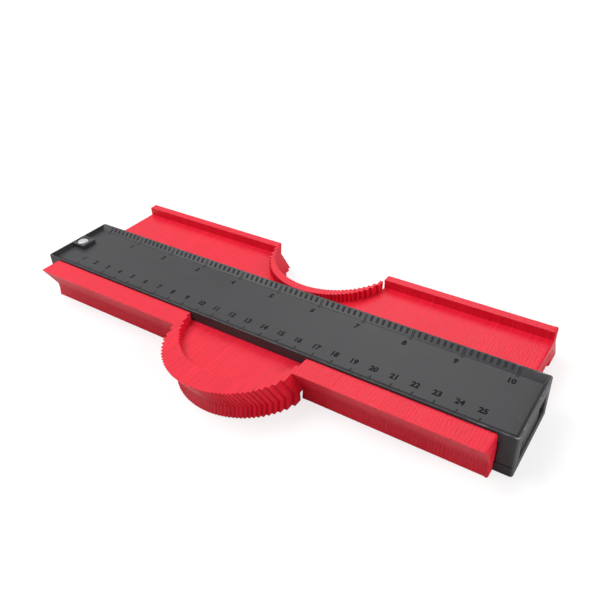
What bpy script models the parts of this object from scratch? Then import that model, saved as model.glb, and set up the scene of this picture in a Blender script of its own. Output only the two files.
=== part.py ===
"""Contour gauge: a ruler frame in two covers, a stack of sliding leaves and a cam lock.

Metres, +Z up. The origin is the middle of the bottom cover's underside, which the gauge rests on.
+X runs along the scale from zero to ten inches, +Y points away from the reader.
Run with: blender --background --python part.py
"""

import math

import bmesh
import bpy
from mathutils import Matrix

# Clearances
GAP = 0.0003
PIN_CLEARANCE = 0.0001
STOP_GAP = 0.0003
FOOT_GAP = 0.0003

# One leaf, seen from the end of the gauge
BLADE_HEIGHT = 0.0110
HEAD_DROP = 0.0048
HEAD_INSIDE = 0.0747
NARROW_HEAD = 0.0045
WIDE_HEAD = 0.0118
BEAK_SLOPE = 0.0119
HEAD_CHAMFER = 0.0003
LEAF_THICKNESS = 0.00146
LEAF_SLIT = 0.00012
GUIDE_GROOVE_HEIGHT = 0.0008
GUIDE_GROOVE_DEPTH = 0.0003

# The stack: leaves travel in bundles, because each bundle is one sliding body
LEAVES_PER_BUNDLE = 4
BUNDLE_COUNT = 40
WEB_HALF_HEIGHT = 0.0030
WEB_END_MARGIN = 0.0040

# The round bar whose contour the leaves have taken, measured in leaves across the stack
BAR_WIDTH_IN_LEAVES = 44
BAR_CENTRE_IN_LEAVES = 3.8
BAR_STOP_SHORT = 0.0010

# Ruler frame
FRAME_WIDTH = 0.0430
STACK_END_GAP = 0.0006
CORNER_RADIUS = 0.0013
TOP_EDGE = 0.0004
BOTTOM_EDGE = 0.0006
ROOF_THICKNESS = 0.0031
RECESS_DEPTH = 0.0025
RIM = 0.0006
LONG_BAND = 0.0033
END_BAND = 0.0013
PANEL_CORNER = 0.0012
SEAM_ABOVE_FLOOR = 0.0004

# Coring pockets that leave guide rails and ribs inside the tunnel
CORE_COUNT = 6
CORE_RIB = 0.0022
CORE_DEPTH = 0.0012
CORE_INNER_Y = 0.0062
CORE_OUTER_Y = 0.0165

# Friction strips
STRIP_WIDTH = 0.0080
STRIP_THICKNESS = 0.0010
STRIP_END_MARGIN = 0.0030

# Clamp at the zero end
BOLT_INSET = 0.0044
BOLT_TO_TUNNEL = 0.0032
BOSS_LENGTH = 0.0093
BOSS_WIDTH = 0.0094
BOSS_CORNER = 0.0006
BOSS_BELOW_RIM = 0.0001
BOLT_HEAD_RADIUS = 0.0032
BOLT_HEAD_HEIGHT = 0.0018
BOLT_DOME = 0.0005
BOLT_RING = 0.00045
SHANK_RADIUS = 0.0015
TONGUE_WIDTH = 0.0024
TONGUE_SKIN = 0.00055
PIN_RADIUS = 0.00075
EYE_RADIUS = 0.0015
CAM_LIFT = 0.0002
LEVER_WIDTH = 0.0080
LEVER_TIP_WIDTH = 0.0064
LEVER_LENGTH = 0.0340
LEVER_FOOT = 0.0004
LEVER_WALL = 0.0008
FORK_REACH = 0.0027
POCKET_SIDE_GAP = 0.0006
NOTCH_RADIUS = 0.0065
NOTCH_DEPTH = 0.0024

# Locating posts at the zero end
POST_RADIUS = 0.0014
POST_LENGTH = 0.0036
POST_Y = 0.0140

# Screws, window and tab at the ten inch end
SCREW_INSET = 0.0039
SCREW_EDGE = 0.0033
SCREW_RADIUS = 0.0011
SCREW_HEAD_RADIUS = 0.0022
SCREW_HEAD_HEIGHT = 0.0015
SCREW_LENGTH = 0.0115
WINDOW_WALL = 0.0008
WINDOW_HEIGHT = 0.0103
TAB_SIDE_GAP = 0.0055
TAB_BACK_GAP = 0.0004
TAB_THICKNESS = 0.0037
TAB_RECESS = 0.0008

# Facets
CORNER_STEPS = 4
ROUND_STEPS = 16

# Heights that follow from the sizes above
LEAF_FOOT = FOOT_GAP
BLADE_LOW = LEAF_FOOT + HEAD_DROP
BLADE_HIGH = BLADE_LOW + BLADE_HEIGHT
LEAF_TOP = BLADE_HIGH + HEAD_DROP
FLOOR_Z = BLADE_LOW - GAP
ROOF_Z = BLADE_HIGH + GAP
PANEL_Z = ROOF_Z + ROOF_THICKNESS
RIM_Z = PANEL_Z + RECESS_DEPTH
SEAM_Z = FLOOR_Z + SEAM_ABOVE_FLOOR
PIN_Z = LEVER_FOOT + EYE_RADIUS
CAM_ROOF_Z = PIN_Z + EYE_RADIUS + CAM_LIFT + GAP
LEVER_ROOF_Z = FLOOR_Z - STRIP_THICKNESS - GAP - LEVER_WALL

# Lengths that follow
LEAF_PITCH = LEAF_THICKNESS + LEAF_SLIT
BUNDLE_WIDTH = LEAVES_PER_BUNDLE * LEAF_PITCH - LEAF_SLIT
BUNDLE_PITCH = BUNDLE_WIDTH + GAP
STACK_LENGTH = BUNDLE_COUNT * BUNDLE_PITCH - GAP
TUNNEL_HALF = STACK_LENGTH / 2 + STACK_END_GAP
FRAME_HALF_LENGTH = TUNNEL_HALF + BOLT_TO_TUNNEL + BOLT_INSET
FRAME_HALF_WIDTH = FRAME_WIDTH / 2
TRAVEL = HEAD_INSIDE - FRAME_WIDTH - 2 * STOP_GAP
LEAF_SHARE = BUNDLE_PITCH / LEAVES_PER_BUNDLE
BAR_RADIUS = BAR_WIDTH_IN_LEAVES * LEAF_SHARE / 2
BAR_X = BAR_CENTRE_IN_LEAVES * LEAF_SHARE
BAR_DEPTH = TRAVEL - BAR_STOP_SHORT
BOLT_X = BOLT_INSET - FRAME_HALF_LENGTH
SCREW_X = FRAME_HALF_LENGTH - SCREW_INSET
SCREW_Y = FRAME_HALF_WIDTH - SCREW_EDGE
WINDOW_HALF_WIDTH = SCREW_Y - SCREW_RADIUS - GAP - WINDOW_WALL
WINDOW_DEPTH = TAB_RECESS + TAB_THICKNESS + TAB_BACK_GAP
TAB_HALF_WIDTH = WINDOW_HALF_WIDTH - TAB_SIDE_GAP
POCKET_HALF_WIDTH = LEVER_WIDTH / 2 + POCKET_SIDE_GAP


def clear_scene():
    for item in list(bpy.data.objects):
        bpy.data.objects.remove(item, do_unlink=True)


def make_material(name, colour, roughness, metallic=0.0):
    material = bpy.data.materials.new(name)
    material.use_nodes = True
    shader = material.node_tree.nodes["Principled BSDF"]
    shader.inputs["Base Color"].default_value = (*colour, 1.0)
    shader.inputs["Roughness"].default_value = roughness
    shader.inputs["Metallic"].default_value = metallic
    return material


def rounded_rectangle(low_x, high_x, low_y, high_y, radius, steps=CORNER_STEPS):
    """Corner arcs of a rectangle, anticlockwise seen from +Z."""
    centres = [
        (high_x - radius, high_y - radius, 0.0),
        (low_x + radius, high_y - radius, 0.5),
        (low_x + radius, low_y + radius, 1.0),
        (high_x - radius, low_y + radius, 1.5),
    ]
    points = []
    for x, y, start in centres:
        for step in range(steps + 1):
            angle = math.pi * (start + 0.5 * step / steps)
            points.append((x + radius * math.cos(angle), y + radius * math.sin(angle)))
    return points


def circle(centre_a, centre_b, radius, steps=ROUND_STEPS):
    angles = [2 * math.pi * step / steps for step in range(steps)]
    return [(centre_a + radius * math.cos(a), centre_b + radius * math.sin(a)) for a in angles]


def loft(name, loops, material):
    """A closed solid through loops of equal length, with a flat face on each end."""
    shape = bmesh.new()
    rings = [[shape.verts.new(point) for point in loop] for loop in loops]
    count = len(rings[0])
    shape.faces.new(reversed(rings[0]))
    shape.faces.new(rings[-1])
    for lower, upper in zip(rings, rings[1:]):
        for i in range(count):
            j = (i + 1) % count
            shape.faces.new((lower[i], lower[j], upper[j], upper[i]))
    bmesh.ops.recalc_face_normals(shape, faces=shape.faces)
    mesh = bpy.data.meshes.new(name)
    shape.to_mesh(mesh)
    shape.free()
    mesh.materials.append(material)
    solid = bpy.data.objects.new(name, mesh)
    bpy.context.scene.collection.objects.link(solid)
    return solid


def upright(name, outline, low_z, high_z, material):
    """An outline in X and Y, raised from low_z to high_z."""
    loops = [[(x, y, z) for x, y in outline] for z in (low_z, high_z)]
    return loft(name, loops, material)


def along_x(name, outline, low_x, high_x, material):
    """An outline in Y and Z, drawn out from low_x to high_x."""
    loops = [[(x, y, z) for y, z in outline] for x in (low_x, high_x)]
    return loft(name, loops, material)


def along_y(name, outline, low_y, high_y, material):
    """An outline in X and Z, drawn out from low_y to high_y."""
    loops = [[(x, y, z) for x, z in outline] for y in (low_y, high_y)]
    return loft(name, loops, material)


def block(name, x_range, y_range, z_range, material):
    (low_x, high_x), (low_y, high_y) = x_range, y_range
    corners = [(low_x, low_y), (high_x, low_y), (high_x, high_y), (low_x, high_y)]
    return upright(name, corners, *z_range, material)


def turned(name, centre, profile, material, steps=ROUND_STEPS):
    """A round piece about a vertical axis, from a profile of radius and height."""
    loops = [[(x, y, z) for x, y in circle(*centre, radius, steps)] for radius, z in profile]
    return loft(name, loops, material)


def combine(solid, tool, operation):
    """Cuts the tool from the solid, or unites the two, and keeps only the result."""
    modifier = solid.modifiers.new("combine", "BOOLEAN")
    modifier.object = tool
    modifier.operation = operation
    modifier.solver = "EXACT"
    graph = bpy.context.evaluated_depsgraph_get()
    result = bpy.data.meshes.new_from_object(solid.evaluated_get(graph))
    solid.modifiers.remove(modifier)
    old_mesh = solid.data
    solid.data = result
    result.name = solid.name
    bpy.data.meshes.remove(old_mesh)
    bpy.data.objects.remove(tool, do_unlink=True)


def cut(solid, tool):
    combine(solid, tool, "DIFFERENCE")


def unite(solid, tool):
    combine(solid, tool, "UNION")


def shade_round(solid, limit_degrees=35):
    solid.data.shade_smooth()
    solid.data.set_sharp_from_angle(angle=math.radians(limit_degrees))


# The leaves

def push_at(x):
    """How far the round bar has pushed the leaf at x towards the reader."""
    offset = abs(x - BAR_X)
    if offset >= BAR_RADIUS:
        return 0.0
    rise = math.sqrt(BAR_RADIUS ** 2 - offset ** 2)
    return max(0.0, rise - (BAR_RADIUS - BAR_DEPTH))


def leaf_outline(push):
    """One leaf in Y and Z: a blade, a head with a beak on top near the reader, and its mirror."""
    near = -FRAME_HALF_WIDTH - STOP_GAP - push
    far = near + HEAD_INSIDE
    return [
        (near, LEAF_TOP),
        (near - WIDE_HEAD, LEAF_TOP),
        (near - NARROW_HEAD, LEAF_TOP - BEAK_SLOPE),
        (near - NARROW_HEAD, LEAF_FOOT + HEAD_CHAMFER),
        (near - NARROW_HEAD + HEAD_CHAMFER, LEAF_FOOT),
        (near, LEAF_FOOT),
        (near, BLADE_LOW),
        (far, BLADE_LOW),
        (far, LEAF_FOOT),
        (far + WIDE_HEAD, LEAF_FOOT),
        (far + NARROW_HEAD, LEAF_FOOT + BEAK_SLOPE),
        (far + NARROW_HEAD, LEAF_TOP - HEAD_CHAMFER),
        (far + NARROW_HEAD - HEAD_CHAMFER, LEAF_TOP),
        (far, LEAF_TOP),
        (far, BLADE_HIGH),
        (near, BLADE_HIGH),
    ]


def make_bundle(index, material):
    """Leaves that slide together, each pushed to its own place, with a thin slit between them."""
    start = index * BUNDLE_PITCH - STACK_LENGTH / 2
    edges = [start + i * LEAF_PITCH for i in range(LEAVES_PER_BUNDLE)]
    pushes = [push_at(edge + LEAF_THICKNESS / 2) for edge in edges]
    blade_near = -FRAME_HALF_WIDTH - STOP_GAP - min(pushes) + WEB_END_MARGIN
    blade_far = -FRAME_HALF_WIDTH - STOP_GAP + HEAD_INSIDE - max(pushes) - WEB_END_MARGIN
    middle_z = (BLADE_LOW + BLADE_HIGH) / 2
    name = f"leaves_{index + 1:02d}"
    bundle = block(
        name,
        (start + LEAF_THICKNESS / 2, start + BUNDLE_WIDTH - LEAF_THICKNESS / 2),
        (blade_near, blade_far),
        (middle_z - WEB_HALF_HEIGHT, middle_z + WEB_HALF_HEIGHT),
        material,
    )
    for edge, push in zip(edges, pushes):
        leaf = along_x("leaf", leaf_outline(push), edge, edge + LEAF_THICKNESS, material)
        unite(bundle, leaf)
    last_push = pushes[-1]
    groove_near = -FRAME_HALF_WIDTH - STOP_GAP - last_push
    groove = block(
        "guide_groove",
        (start + BUNDLE_WIDTH - GUIDE_GROOVE_DEPTH, start + BUNDLE_WIDTH + GUIDE_GROOVE_DEPTH),
        (groove_near, groove_near + HEAD_INSIDE),
        (middle_z - GUIDE_GROOVE_HEIGHT / 2, middle_z + GUIDE_GROOVE_HEIGHT / 2),
        material,
    )
    cut(bundle, groove)
    return bundle


# The covers

def cover_outline(inset=0.0):
    return rounded_rectangle(
        inset - FRAME_HALF_LENGTH,
        FRAME_HALF_LENGTH - inset,
        inset - FRAME_HALF_WIDTH,
        FRAME_HALF_WIDTH - inset,
        CORNER_RADIUS - inset,
    )


def cover_shell(name, levels, material):
    """The rounded plan of the frame at a list of heights and insets."""
    loops = [[(x, y, z) for x, y in cover_outline(inset)] for z, inset in levels]
    return loft(name, loops, material)


def core_positions():
    pitch = 2 * TUNNEL_HALF / CORE_COUNT
    for column in range(CORE_COUNT):
        low_x = column * pitch - TUNNEL_HALF + CORE_RIB / 2
        for side in (-1, 1):
            y_range = sorted((side * CORE_INNER_Y, side * CORE_OUTER_Y))
            yield (low_x, low_x + pitch - CORE_RIB), y_range


def cut_tunnel_details(cover, face_z, inward, material):
    """Coring pockets and the friction strip's groove, sunk into a cover's tunnel face."""
    for x_range, y_range in core_positions():
        z_range = sorted((face_z - inward * GAP, face_z + inward * CORE_DEPTH))
        cut(cover, block("core", x_range, y_range, z_range, material))
    half = TUNNEL_HALF - STRIP_END_MARGIN + GAP
    reach = STRIP_WIDTH / 2 + GAP
    z_range = sorted((face_z - inward * GAP, face_z + inward * (STRIP_THICKNESS + GAP)))
    cut(cover, block("strip_groove", (-half, half), (-reach, reach), z_range, material))


def make_recess(material):
    """The sunk scale panel with sloped bands all round."""
    def panel_loop(shrink, z):
        x = FRAME_HALF_LENGTH - RIM - END_BAND * shrink
        y = FRAME_HALF_WIDTH - RIM - LONG_BAND * shrink
        outer = CORNER_RADIUS - RIM
        radius = outer + (PANEL_CORNER - outer) * shrink
        return [(px, py, z) for px, py in rounded_rectangle(-x, x, -y, y, radius)]

    above = RIM_Z + GAP
    over = -GAP / RECESS_DEPTH
    return loft("recess", [panel_loop(1.0, PANEL_Z), panel_loop(over, above)], material)


def make_top_cover(material):
    levels = [(SEAM_Z + GAP, 0.0), (RIM_Z - TOP_EDGE, 0.0), (RIM_Z, TOP_EDGE)]
    cover = cover_shell("top_cover", levels, material)
    cut(cover, make_recess(material))
    boss = rounded_rectangle(
        RIM - FRAME_HALF_LENGTH,
        RIM - FRAME_HALF_LENGTH + BOSS_LENGTH,
        -BOSS_WIDTH / 2,
        BOSS_WIDTH / 2,
        BOSS_CORNER,
    )
    unite(cover, upright("boss", boss, PANEL_Z - GAP, RIM_Z - BOSS_BELOW_RIM, material))
    tunnel_y = FRAME_HALF_WIDTH + GAP
    tunnel = block(
        "tunnel", (-TUNNEL_HALF, TUNNEL_HALF), (-tunnel_y, tunnel_y), (0.0, ROOF_Z), material
    )
    cut(cover, tunnel)
    cut_tunnel_details(cover, ROOF_Z, 1, material)
    seat_z = RIM_Z - BOSS_BELOW_RIM - BOLT_HEAD_HEIGHT - GAP
    head_hole = BOLT_HEAD_RADIUS + BOLT_RING
    cut(cover, turned("head_hole", (BOLT_X, 0), [(head_hole, seat_z), (head_hole, RIM_Z + GAP)],
                      material))
    shank_hole = SHANK_RADIUS + GAP
    cut(cover, turned("shank_hole", (BOLT_X, 0), [(shank_hole, 0.0), (shank_hole, seat_z + GAP)],
                      material))
    for side in (-1, 1):
        post = [(POST_RADIUS, SEAM_Z + GAP - POST_LENGTH), (POST_RADIUS, SEAM_Z + 3 * GAP)]
        unite(cover, turned("post", (BOLT_X, side * POST_Y), post, material))
        pilot = SCREW_RADIUS + GAP
        top = LEVER_FOOT + SCREW_LENGTH + GAP
        cut(cover, turned("pilot", (SCREW_X, side * SCREW_Y), [(pilot, 0.0), (pilot, top)],
                          material))
    window = block(
        "window",
        (FRAME_HALF_LENGTH - WINDOW_DEPTH, FRAME_HALF_LENGTH + GAP),
        (-WINDOW_HALF_WIDTH, WINDOW_HALF_WIDTH),
        (0.0, SEAM_Z + GAP + WINDOW_HEIGHT),
        material,
    )
    cut(cover, window)
    return cover


def make_bottom_cover(material):
    levels = [(0.0, BOTTOM_EDGE), (BOTTOM_EDGE, 0.0), (SEAM_Z, 0.0)]
    cover = cover_shell("bottom_cover", levels, material)
    tunnel_y = FRAME_HALF_WIDTH + GAP
    tunnel = block(
        "tunnel", (-TUNNEL_HALF, TUNNEL_HALF), (-tunnel_y, tunnel_y), (FLOOR_Z, RIM_Z), material
    )
    cut(cover, tunnel)
    cut_tunnel_details(cover, FLOOR_Z, -1, material)
    tab_face = FRAME_HALF_LENGTH - TAB_RECESS
    tab = block(
        "tab",
        (tab_face - TAB_THICKNESS, tab_face),
        (-TAB_HALF_WIDTH, TAB_HALF_WIDTH),
        (SEAM_Z - GAP, SEAM_Z + WINDOW_HEIGHT),
        material,
    )
    unite(cover, tab)
    cut_lever_pocket(cover, material)
    for side in (-1, 1):
        post_hole = POST_RADIUS + GAP
        low = SEAM_Z - POST_LENGTH
        cut(cover, turned("post_hole", (BOLT_X, side * POST_Y),
                          [(post_hole, low), (post_hole, RIM_Z)], material))
        clear = SCREW_RADIUS + GAP
        sink = SCREW_HEAD_RADIUS + GAP
        sink_z = LEVER_FOOT + SCREW_HEAD_HEIGHT + GAP
        centre = (SCREW_X, side * SCREW_Y)
        cut(cover, turned("screw_hole", centre, [(clear, -GAP), (clear, RIM_Z)], material))
        cut(cover, turned("screw_sink", centre, [(sink, -GAP), (sink, sink_z)], material))
    return cover


def cut_lever_pocket(cover, material):
    """The pocket under the zero end in which the folded lever lies, open at the end face."""
    step_x = BOLT_X + FORK_REACH + EYE_RADIUS
    left = -FRAME_HALF_LENGTH - GAP
    width = (-POCKET_HALF_WIDTH, POCKET_HALF_WIDTH)
    tip_x = BOLT_X + LEVER_LENGTH
    cut(cover, block("cam_pocket", (left, step_x), width, (-GAP, CAM_ROOF_Z), material))
    cut(cover, block("lever_pocket", (left, tip_x + POCKET_SIDE_GAP), width,
                     (-GAP, LEVER_ROOF_Z), material))
    notch = [(NOTCH_RADIUS, -GAP), (NOTCH_RADIUS, NOTCH_DEPTH)]
    cut(cover, turned("finger_notch", (tip_x, 0), notch, material))
    shank_hole = SHANK_RADIUS + GAP
    cut(cover, turned("shank_hole", (BOLT_X, 0), [(shank_hole, 0.0), (shank_hole, RIM_Z)],
                      material))


# Inside and hardware

def make_strip(name, low_z, material):
    half = TUNNEL_HALF - STRIP_END_MARGIN
    return block(name, (-half, half), (-STRIP_WIDTH / 2, STRIP_WIDTH / 2),
                 (low_z, low_z + STRIP_THICKNESS), material)


def make_clamp_bolt(material):
    """A low domed head, a round shank, and a flat tongue with the cross hole of the lever pin."""
    head_top = RIM_Z - BOSS_BELOW_RIM
    seat = head_top - BOLT_HEAD_HEIGHT
    shank_low = CAM_ROOF_Z + GAP
    profile = [
        (SHANK_RADIUS, shank_low),
        (SHANK_RADIUS, seat),
        (BOLT_HEAD_RADIUS, seat),
        (BOLT_HEAD_RADIUS, head_top - BOLT_DOME),
        (BOLT_HEAD_RADIUS * 0.82, head_top - BOLT_DOME * 0.35),
        (BOLT_HEAD_RADIUS * 0.45, head_top),
    ]
    bolt = turned("clamp_bolt", (BOLT_X, 0), profile, material)
    reach = SHANK_RADIUS * 0.9
    low = PIN_Z - PIN_RADIUS - PIN_CLEARANCE - TONGUE_SKIN
    tongue = block("tongue", (BOLT_X - reach, BOLT_X + reach),
                   (-TONGUE_WIDTH / 2, TONGUE_WIDTH / 2), (low, shank_low + GAP), material)
    unite(bolt, tongue)
    hole = circle(BOLT_X, PIN_Z, PIN_RADIUS + PIN_CLEARANCE)
    cut(bolt, along_y("cross_hole", hole, -TONGUE_WIDTH, TONGUE_WIDTH, material))
    shade_round(bolt)
    return bolt


def make_lever_pin(material):
    half = LEVER_WIDTH / 2 - PIN_CLEARANCE
    pin = along_y("lever_pin", circle(BOLT_X, PIN_Z, PIN_RADIUS), -half, half, material)
    shade_round(pin)
    return pin


def make_lock_lever(material):
    """A forked cam lever, folded flat. Its origin is on the pin that it turns about."""
    high = LEVER_ROOF_Z - GAP
    tip_x = BOLT_X + LEVER_LENGTH
    cam_z = PIN_Z + CAM_LIFT
    eye = [math.pi * (0.5 + step / 8) for step in range(9)]
    outline = [(BOLT_X + EYE_RADIUS * math.cos(a), cam_z + EYE_RADIUS * math.sin(a)) for a in eye]
    outline += [
        (BOLT_X + EYE_RADIUS, LEVER_FOOT),
        (tip_x - 0.3 * LEVER_LENGTH, LEVER_FOOT),
        (tip_x - 0.02 * LEVER_LENGTH, (LEVER_FOOT + high) / 2),
        (tip_x, high - 0.3 * (high - LEVER_FOOT)),
        (tip_x - 0.02 * LEVER_LENGTH, high),
        (BOLT_X + EYE_RADIUS + FORK_REACH, high),
    ]
    lever = along_y("lock_lever", outline, -LEVER_WIDTH / 2, LEVER_WIDTH / 2, material)
    for side in (-1, 1):
        taper = [
            (BOLT_X + LEVER_LENGTH * 0.3, side * (LEVER_WIDTH / 2 + GAP)),
            (tip_x + GAP, side * (LEVER_WIDTH / 2 + GAP)),
            (tip_x + GAP, side * LEVER_TIP_WIDTH / 2),
        ]
        cut(lever, upright("taper", taper, -GAP, LEVER_ROOF_Z + GAP, material))
    slot = block("fork_slot", (BOLT_X - 2 * EYE_RADIUS, BOLT_X + FORK_REACH),
                 (-TONGUE_WIDTH / 2 - GAP, TONGUE_WIDTH / 2 + GAP), (-GAP, SEAM_Z), material)
    cut(lever, slot)
    hole = circle(BOLT_X, PIN_Z, PIN_RADIUS + PIN_CLEARANCE)
    cut(lever, along_y("pin_hole", hole, -LEVER_WIDTH, LEVER_WIDTH, material))
    pivot = (BOLT_X, 0.0, PIN_Z)
    lever.data.transform(Matrix.Translation(pivot).inverted())
    lever.location = pivot
    return lever


def make_cover_screw(number, side, material):
    head_top = LEVER_FOOT + SCREW_HEAD_HEIGHT
    profile = [
        (SCREW_HEAD_RADIUS * 0.8, LEVER_FOOT),
        (SCREW_HEAD_RADIUS, LEVER_FOOT + SCREW_HEAD_HEIGHT * 0.3),
        (SCREW_HEAD_RADIUS, head_top),
        (SCREW_RADIUS, head_top),
        (SCREW_RADIUS, LEVER_FOOT + SCREW_LENGTH - SCREW_RADIUS),
        (SCREW_RADIUS * 0.4, LEVER_FOOT + SCREW_LENGTH),
    ]
    screw = turned(f"cover_screw_{number}", (SCREW_X, side * SCREW_Y), profile, material, 12)
    shade_round(screw)
    return screw


def main():
    clear_scene()
    grey_plastic = make_material("grey_plastic", (0.085, 0.085, 0.09), 0.5)
    red_plastic = make_material("red_plastic", (0.85, 0.03, 0.05), 0.35)
    rubber = make_material("strip_rubber", (0.03, 0.03, 0.03), 0.9)
    steel = make_material("bright_steel", (0.75, 0.75, 0.76), 0.25, 1.0)
    lever_metal = make_material("black_lever", (0.03, 0.03, 0.032), 0.4)
    for index in range(BUNDLE_COUNT):
        make_bundle(index, red_plastic)
    make_top_cover(grey_plastic)
    make_bottom_cover(grey_plastic)
    make_strip("upper_strip", ROOF_Z, rubber)
    make_strip("lower_strip", FLOOR_Z - STRIP_THICKNESS, rubber)
    make_clamp_bolt(steel)
    make_lever_pin(steel)
    make_lock_lever(lever_metal)
    for number, side in ((1, -1), (2, 1)):
        make_cover_screw(number, side, steel)


main()
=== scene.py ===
# %% [markdown]
# # Contour gauge
# A contour gauge copies an outline. Thin plastic leaves stand side by side in a ruler frame, and
# what is pressed against one side pushes each leaf through by its own amount. Here the far side
# has taken in a round curve, so the near side bulges by the same curve.
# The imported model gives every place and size. This script gives each piece its finish.

# %% Load the frame
import math
import random

import bmesh
import bpy
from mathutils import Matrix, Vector


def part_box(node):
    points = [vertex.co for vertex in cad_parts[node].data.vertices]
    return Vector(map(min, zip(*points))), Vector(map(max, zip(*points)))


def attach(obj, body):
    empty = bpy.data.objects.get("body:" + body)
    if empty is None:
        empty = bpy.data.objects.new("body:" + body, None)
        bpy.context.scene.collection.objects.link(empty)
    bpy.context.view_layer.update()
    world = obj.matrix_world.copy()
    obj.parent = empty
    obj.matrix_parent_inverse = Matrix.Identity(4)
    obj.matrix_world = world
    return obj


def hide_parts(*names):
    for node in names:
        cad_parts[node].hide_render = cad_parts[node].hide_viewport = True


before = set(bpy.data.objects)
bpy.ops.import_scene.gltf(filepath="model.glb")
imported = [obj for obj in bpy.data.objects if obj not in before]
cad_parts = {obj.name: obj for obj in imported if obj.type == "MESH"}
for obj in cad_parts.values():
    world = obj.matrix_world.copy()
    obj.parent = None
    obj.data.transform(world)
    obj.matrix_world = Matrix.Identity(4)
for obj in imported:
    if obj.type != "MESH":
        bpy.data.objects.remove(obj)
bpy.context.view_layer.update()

# %% [markdown]
# ## Sizes
# The lengths are written in millimetres, as a maker reads them off a drawing, and turned to metres
# where Blender needs them. Outer sizes come from the frame, so the looks can't drift away from it.

# %% Sizes of the gauge in millimetres
MM = 0.001
HALF_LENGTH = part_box("top_cover")[1].x / MM
HALF_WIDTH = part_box("top_cover")[1].y / MM
RIM_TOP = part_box("top_cover")[1].z / MM
CORNER = 1.3
RIM = 0.6
RECESS = 2.5
LONG_BAND = 3.3
END_BAND = 1.3
ZERO_END_BAND = 0.4
PANEL_TOP = RIM_TOP - RECESS
SEAM = 5.2
FLOOR = 4.8
ROOF = 16.4
GAP = 0.3
TUNNEL_HALF = HALF_LENGTH - 7.6
print("frame", round(2 * HALF_LENGTH, 1), "x", round(2 * HALF_WIDTH, 1), "x",
      round(RIM_TOP, 1), "mm")

# %% [markdown]
# ## Helpers for modelling by hand
# Each helper stands for a few clicks in Blender's window: add a box at its size, open it for
# editing, pick faces or edges by where they are, cut one solid out of another.

# %% Helpers: select and start a piece
def only(piece):
    """Selects one piece and nothing else."""
    bpy.ops.object.select_all(action="DESELECT")
    bpy.context.view_layer.objects.active = piece
    piece.select_set(True)


def settle(piece):
    """Puts the object's place and size into its mesh."""
    only(piece)
    bpy.ops.object.transform_apply(location=True, rotation=True, scale=True)
    return piece


def start_box(name, low, high, finish=None):
    bpy.ops.object.select_all(action="DESELECT")
    place = [(a + b) / 2 * MM for a, b in zip(low, high)]
    bpy.ops.mesh.primitive_cube_add(size=1, location=place)
    piece = bpy.context.object
    piece.name = name
    piece.scale = [(b - a) * MM for a, b in zip(low, high)]
    if finish:
        piece.data.materials.append(finish)
    return settle(piece)


def start_round(name, centre, radius, low, high, sides, finish=None):
    bpy.ops.object.select_all(action="DESELECT")
    place = (centre[0] * MM, centre[1] * MM, (low + high) / 2 * MM)
    bpy.ops.mesh.primitive_cylinder_add(vertices=sides, radius=radius * MM,
                                        depth=(high - low) * MM, location=place)
    piece = bpy.context.object
    piece.name = name
    if finish:
        piece.data.materials.append(finish)
    return settle(piece)


print("starting helpers ready")

# %% Helpers: open a piece and pick its parts
def open_piece(piece):
    only(piece)
    bpy.ops.object.mode_set(mode="EDIT")
    bpy.ops.mesh.select_all(action="DESELECT")


def close_piece():
    bpy.ops.object.mode_set(mode="OBJECT")


def pick(piece, kind, test):
    """Selects the faces, edges or vertices of an open piece that pass a test."""
    bpy.ops.mesh.select_mode(type=kind)
    bpy.ops.mesh.select_all(action="DESELECT")
    shape = bmesh.from_edit_mesh(piece.data)
    shape.normal_update()
    parts = {"FACE": shape.faces, "EDGE": shape.edges, "VERT": shape.verts}[kind]
    found = [part for part in parts if test(part)]
    for part in found:
        part.select_set(True)
    bmesh.update_edit_mesh(piece.data)
    return len(found)


def middle(part):
    """The middle of a face or edge, in millimetres."""
    points = [vertex.co for vertex in part.verts]
    return sum(points, Vector()) / len(points) / MM


def upright_edge(edge):
    along = edge.verts[1].co - edge.verts[0].co
    return abs(along.z) > 0.9 * along.length


print("picking helpers ready")

# %% Helpers: cut, unite, round the edges
def combine(piece, tool, operation):
    """Cuts or adds a tool. A tool with a finish of its own leaves it on the faces that it makes."""
    if not tool.data.materials:
        tool.data.materials.append(piece.data.materials[0])
    change = piece.modifiers.new("combine", "BOOLEAN")
    change.object = tool
    change.operation = operation
    change.solver = "EXACT"
    change.material_mode = "TRANSFER"
    only(piece)
    bpy.ops.object.modifier_apply(modifier=change.name)
    bpy.data.objects.remove(tool, do_unlink=True)


def cut(piece, tool):
    combine(piece, tool, "DIFFERENCE")


def cut_box(piece, low, high):
    cut(piece, start_box("cutter", low, high))


def cut_round(piece, centre, radius, low, high, sides=48):
    cut(piece, start_round("cutter", centre, radius, low, high, sides))


def round_edges(piece, width):
    """Breaks every edge sharper than 30 degrees, as a tumbled or coated part has them."""
    soften = piece.modifiers.new("soften", "BEVEL")
    soften.width = width * MM
    soften.segments = 2
    soften.limit_method = "ANGLE"
    soften.angle_limit = math.radians(30)
    soften.miter_outer = "MITER_ARC"
    only(piece)
    bpy.ops.object.modifier_apply(modifier=soften.name)


def shade(piece, angle=35):
    only(piece)
    bpy.ops.object.shade_smooth_by_angle(angle=math.radians(angle))


def triangles(piece):
    return sum(len(face.vertices) - 2 for face in piece.data.polygons)


print("cutting helpers ready")

# %% [markdown]
# ## Materials
# The frame is moulded in dark grey ABS with a fine spark-eroded grain, and the leaves in red ABS
# with a smoother face. A single colour looks like paint, so each finish is built from small
# causes: grain, faint flow marks, dust, and edges that have rubbed a little lighter.
# All patterns read Object coordinates. The pieces keep their place in their mesh, so these are
# the gauge's own coordinates in metres, and a pattern runs on from piece to piece.

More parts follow.
